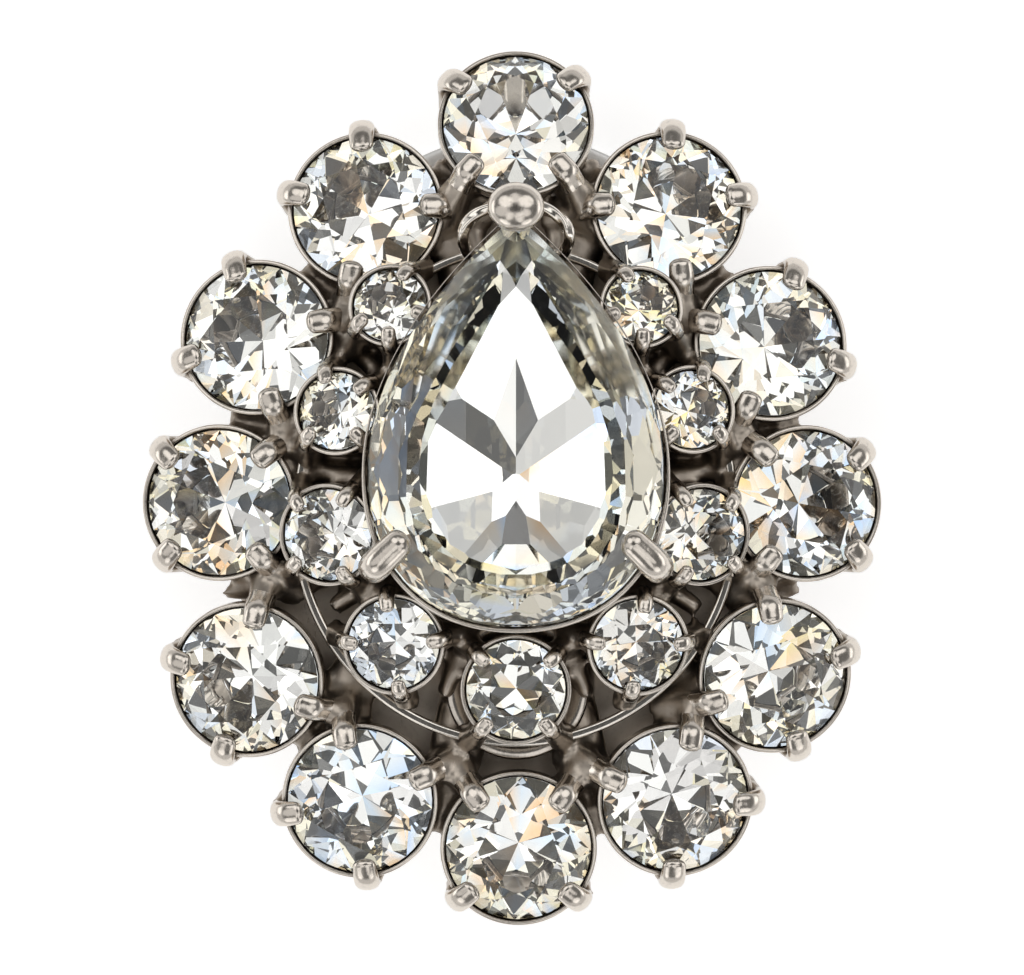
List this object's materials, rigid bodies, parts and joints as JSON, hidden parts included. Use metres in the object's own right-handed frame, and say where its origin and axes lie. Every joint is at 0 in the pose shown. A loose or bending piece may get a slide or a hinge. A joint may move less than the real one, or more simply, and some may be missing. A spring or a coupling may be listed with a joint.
{
  "type": "crystal cluster clip earring",
  "caption": "Clip-on cluster earring: a large pear-shaped crystal framed by small and large round crystals in a soldered antiqued metal frame.",
  "frame": {"origin": "middle of the box's underside, on the surface that the clip's paddle rests on", "axes": "+Z out of the face, +Y to the top of the earring where the pear's tip points, +X to the right as the face is looked at"},
  "size_m": [0.0332, 0.0392, 0.0152],
  "materials": {
    "antique_silver": "antiqued silver plate, bright on rims, prongs and wire, dark oxide in the recesses",
    "satin_silver": "satin plated sheet metal",
    "clear_crystal": "clear cut crystal with a foiled back"
  },
  "bodies": {
    "root": {"metal_frame": "antique_silver", "ear_clip": "satin_silver", "pear_stone": "clear_crystal", "outer_stone_01": "clear_crystal", "outer_stone_02": "clear_crystal", "outer_stone_03": "clear_crystal", "outer_stone_04": "clear_crystal", "outer_stone_05": "clear_crystal", "outer_stone_06": "clear_crystal", "outer_stone_07": "clear_crystal", "outer_stone_08": "clear_crystal", "outer_stone_09": "clear_crystal", "outer_stone_10": "clear_crystal", "outer_stone_11": "clear_crystal", "outer_stone_12": "clear_crystal", "inner_stone_01": "clear_crystal", "inner_stone_02": "clear_crystal", "inner_stone_03": "clear_crystal", "inner_stone_04": "clear_crystal", "inner_stone_05": "clear_crystal", "inner_stone_06": "clear_crystal", "inner_stone_07": "clear_crystal", "inner_stone_08": "clear_crystal", "inner_stone_09": "clear_crystal"}
  },
  "joints": []
}
